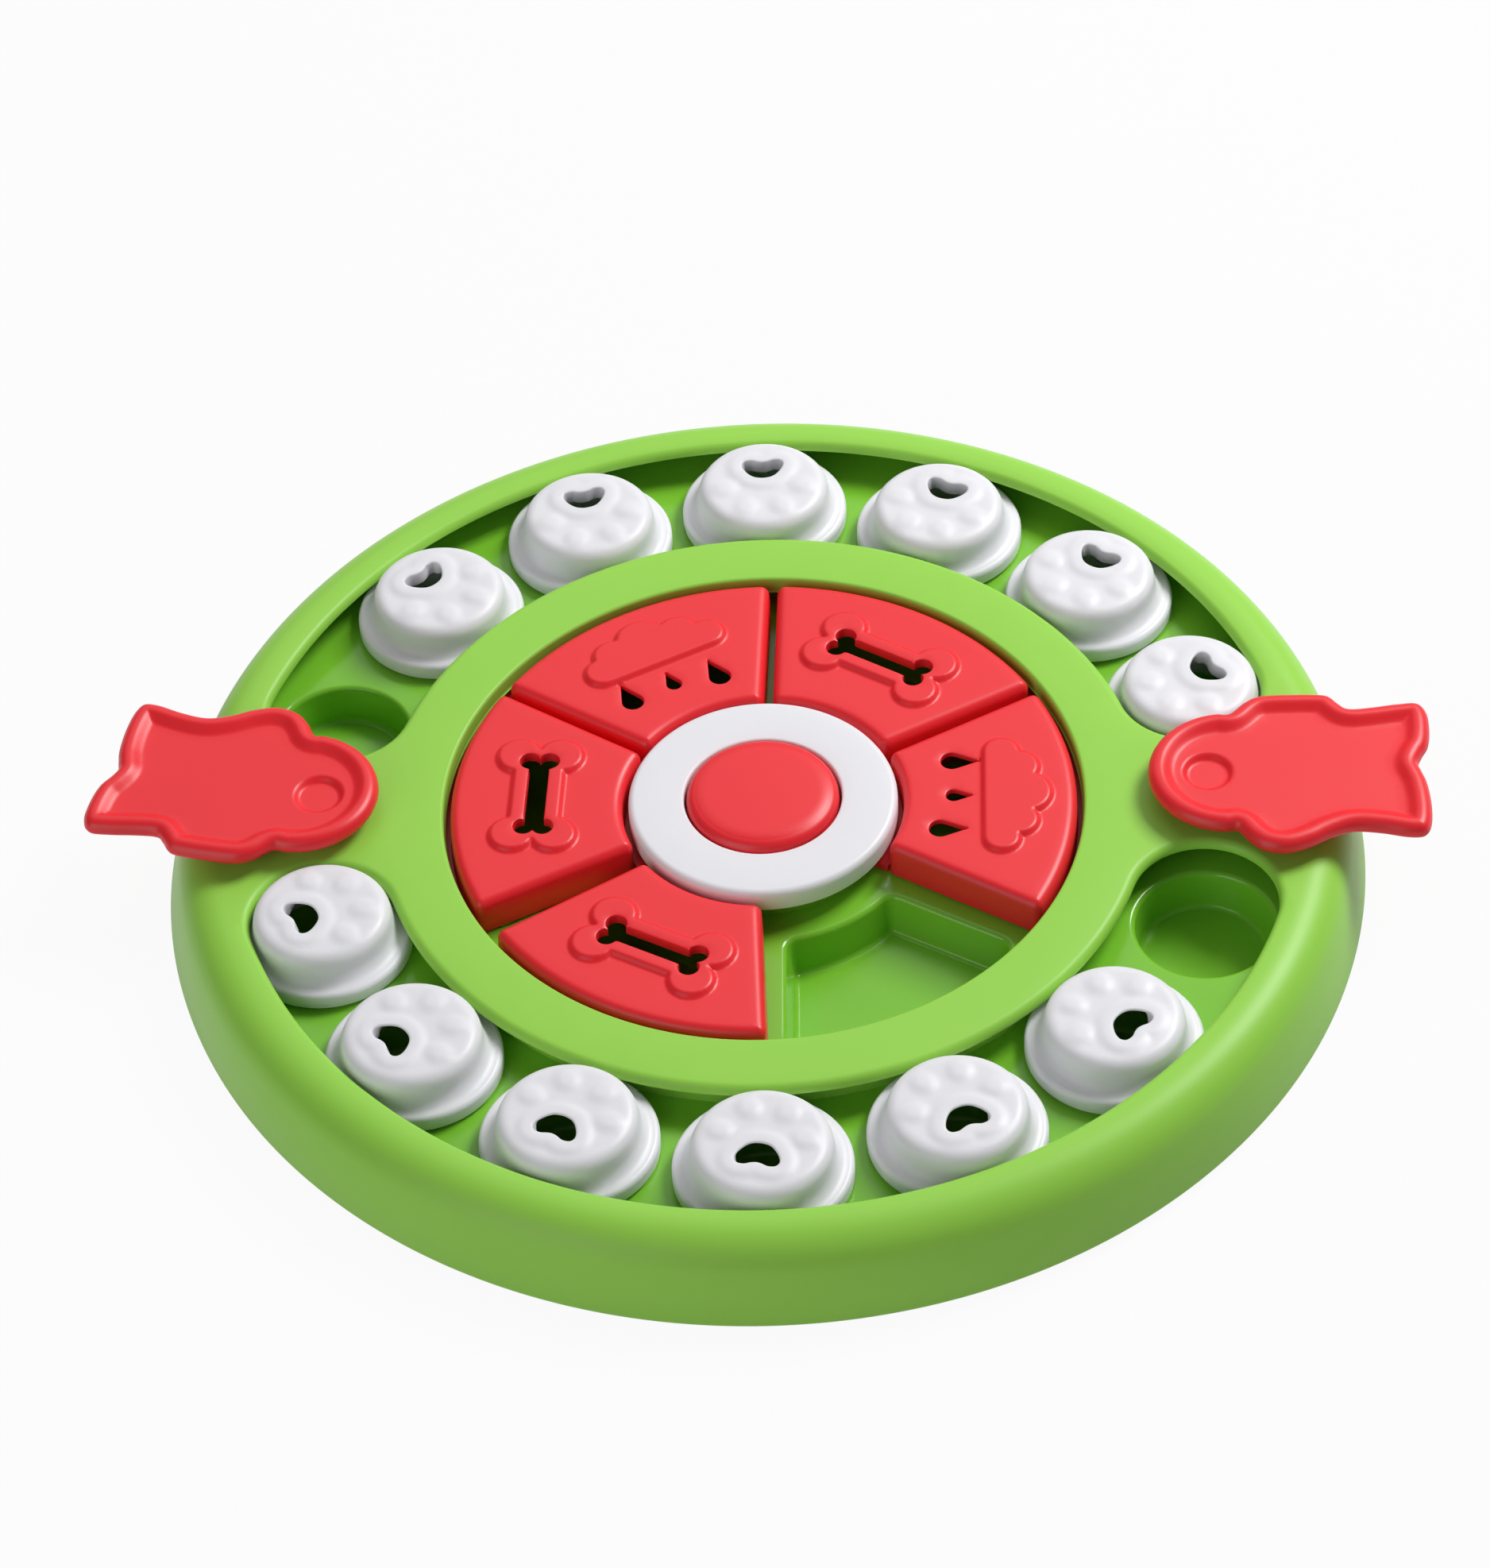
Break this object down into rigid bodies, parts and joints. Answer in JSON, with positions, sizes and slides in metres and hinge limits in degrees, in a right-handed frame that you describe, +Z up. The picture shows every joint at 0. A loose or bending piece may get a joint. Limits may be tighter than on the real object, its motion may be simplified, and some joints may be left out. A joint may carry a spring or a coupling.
{
  "type": "pet puzzle feeder",
  "caption": "Round pet puzzle feeder: paw-print caps slide in curved slots and fan lids round a push button, to uncover treat wells, with swivelling fish covers at the sides.",
  "frame": {"origin": "on the table, under the middle of the round plate", "axes": "+Z up; +X through the right fish's pivot, -X through the left fish's pivot; -Y towards the viewer"},
  "size_m": [0.2786, 0.25, 0.0265],
  "materials": {
    "green_plastic": "satin",
    "red_plastic": "satin",
    "white_plastic": "satin",
    "soft_rubber": "matte",
    "screw_steel": "zinc"
  },
  "bodies": {
    "base": {"hub_tray": "green_plastic", "back_tray": "green_plastic", "front_tray": "green_plastic", "top_frame": "green_plastic", "center_ring": "white_plastic", "squeaker_bulb": "soft_rubber", "rim_screws": "screw_steel", "hub_screws": "screw_steel", "ring_screws": "screw_steel", "rubber_feet": "soft_rubber"},
    "paw_peg_1": {"paw_peg_1": "white_plastic"},
    "paw_peg_2": {"paw_peg_2": "white_plastic"},
    "paw_peg_3": {"paw_peg_3": "white_plastic"},
    "paw_peg_4": {"paw_peg_4": "white_plastic"},
    "paw_peg_5": {"paw_peg_5": "white_plastic"},
    "paw_peg_6": {"paw_peg_6": "white_plastic"},
    "paw_peg_7": {"paw_peg_7": "white_plastic"},
    "paw_peg_8": {"paw_peg_8": "white_plastic"},
    "paw_peg_9": {"paw_peg_9": "white_plastic"},
    "paw_peg_10": {"paw_peg_10": "white_plastic"},
    "paw_peg_11": {"paw_peg_11": "white_plastic"},
    "paw_peg_12": {"paw_peg_12": "white_plastic"},
    "bone_lid_1": {"bone_lid_1": "red_plastic"},
    "cloud_lid_1": {"cloud_lid_1": "red_plastic"},
    "bone_lid_2": {"bone_lid_2": "red_plastic"},
    "bone_lid_3": {"bone_lid_3": "red_plastic"},
    "cloud_lid_2": {"cloud_lid_2": "red_plastic"},
    "button": {"press_button": "red_plastic"},
    "fish_right": {"right_fish": "red_plastic", "right_fish_screw": "screw_steel"},
    "fish_left": {"left_fish": "red_plastic", "left_fish_screw": "screw_steel"}
  },
  "joints": [
    {"name": "paw_peg_1_slide", "type": "hinge", "parent": "base", "child": "paw_peg_1", "pos_m": [0, 0, 0], "axis": [0, 0, 1], "range_deg": [0, 23.75]},
    {"name": "paw_peg_2_slide", "type": "hinge", "parent": "base", "child": "paw_peg_2", "pos_m": [0, 0, 0], "axis": [0, 0, 1], "range_deg": [0, 23.75]},
    {"name": "paw_peg_3_slide", "type": "hinge", "parent": "base", "child": "paw_peg_3", "pos_m": [0, 0, 0], "axis": [0, 0, 1], "range_deg": [0, 23.75]},
    {"name": "paw_peg_4_slide", "type": "hinge", "parent": "base", "child": "paw_peg_4", "pos_m": [0, 0, 0], "axis": [0, 0, 1], "range_deg": [0, 23.75]},
    {"name": "paw_peg_5_slide", "type": "hinge", "parent": "base", "child": "paw_peg_5", "pos_m": [0, 0, 0], "axis": [0, 0, 1], "range_deg": [0, 23.75]},
    {"name": "paw_peg_6_slide", "type": "hinge", "parent": "base", "child": "paw_peg_6", "pos_m": [0, 0, 0], "axis": [0, 0, 1], "range_deg": [0, 23.75]},
    {"name": "paw_peg_7_slide", "type": "hinge", "parent": "base", "child": "paw_peg_7", "pos_m": [0, 0, 0], "axis": [0, 0, 1], "range_deg": [0, 23.75]},
    {"name": "paw_peg_8_slide", "type": "hinge", "parent": "base", "child": "paw_peg_8", "pos_m": [0, 0, 0], "axis": [0, 0, 1], "range_deg": [0, 23.75]},
    {"name": "paw_peg_9_slide", "type": "hinge", "parent": "base", "child": "paw_peg_9", "pos_m": [0, 0, 0], "axis": [0, 0, 1], "range_deg": [0, 23.75]},
    {"name": "paw_peg_10_slide", "type": "hinge", "parent": "base", "child": "paw_peg_10", "pos_m": [0, 0, 0], "axis": [0, 0, 1], "range_deg": [0, 23.75]},
    {"name": "paw_peg_11_slide", "type": "hinge", "parent": "base", "child": "paw_peg_11", "pos_m": [0, 0, 0], "axis": [0, 0, 1], "range_deg": [0, 23.75]},
    {"name": "paw_peg_12_slide", "type": "hinge", "parent": "base", "child": "paw_peg_12", "pos_m": [0, 0, 0], "axis": [0, 0, 1], "range_deg": [0, 23.75]},
    {"name": "bone_lid_1_slide", "type": "hinge", "parent": "base", "child": "bone_lid_1", "pos_m": [0, 0, 0], "axis": [0, 0, 1], "continuous": true},
    {"name": "cloud_lid_1_slide", "type": "hinge", "parent": "base", "child": "cloud_lid_1", "pos_m": [0, 0, 0], "axis": [0, 0, 1], "continuous": true},
    {"name": "bone_lid_2_slide", "type": "hinge", "parent": "base", "child": "bone_lid_2", "pos_m": [0, 0, 0], "axis": [0, 0, 1], "continuous": true},
    {"name": "bone_lid_3_slide", "type": "hinge", "parent": "base", "child": "bone_lid_3", "pos_m": [0, 0, 0], "axis": [0, 0, 1], "continuous": true},
    {"name": "cloud_lid_2_slide", "type": "hinge", "parent": "base", "child": "cloud_lid_2", "pos_m": [0, 0, 0], "axis": [0, 0, 1], "continuous": true},
    {"name": "button_press", "type": "slide", "parent": "base", "child": "button", "axis": [0, 0, 1], "range_m": [-0.0035, 0], "stiffness_N_per_m": 600, "springref_m": 0.001, "deforming": ["squeaker_bulb"]},
    {"name": "right_fish_swivel", "type": "hinge", "parent": "base", "child": "fish_right", "pos_m": [0.092, 0, 0.0231], "axis": [0, 0, 1], "continuous": true},
    {"name": "left_fish_swivel", "type": "hinge", "parent": "base", "child": "fish_left", "pos_m": [-0.092, 0, 0.0231], "axis": [0, 0, 1], "continuous": true}
  ],
  "couplings": [
    {"joint": "paw_peg_2_slide", "follows": "paw_peg_1_slide", "ratio": 1},
    {"joint": "paw_peg_3_slide", "follows": "paw_peg_1_slide", "ratio": 1},
    {"joint": "paw_peg_4_slide", "follows": "paw_peg_1_slide", "ratio": 1},
    {"joint": "paw_peg_5_slide", "follows": "paw_peg_1_slide", "ratio": 1},
    {"joint": "paw_peg_6_slide", "follows": "paw_peg_1_slide", "ratio": 1},
    {"joint": "paw_peg_8_slide", "follows": "paw_peg_7_slide", "ratio": 1},
    {"joint": "paw_peg_9_slide", "follows": "paw_peg_7_slide", "ratio": 1},
    {"joint": "paw_peg_10_slide", "follows": "paw_peg_7_slide", "ratio": 1},
    {"joint": "paw_peg_11_slide", "follows": "paw_peg_7_slide", "ratio": 1},
    {"joint": "paw_peg_12_slide", "follows": "paw_peg_7_slide", "ratio": 1},
    {"joint": "cloud_lid_1_slide", "follows": "bone_lid_1_slide", "ratio": 1},
    {"joint": "bone_lid_2_slide", "follows": "bone_lid_1_slide", "ratio": 1},
    {"joint": "bone_lid_3_slide", "follows": "bone_lid_1_slide", "ratio": 1},
    {"joint": "cloud_lid_2_slide", "follows": "bone_lid_1_slide", "ratio": 1}
  ]
}
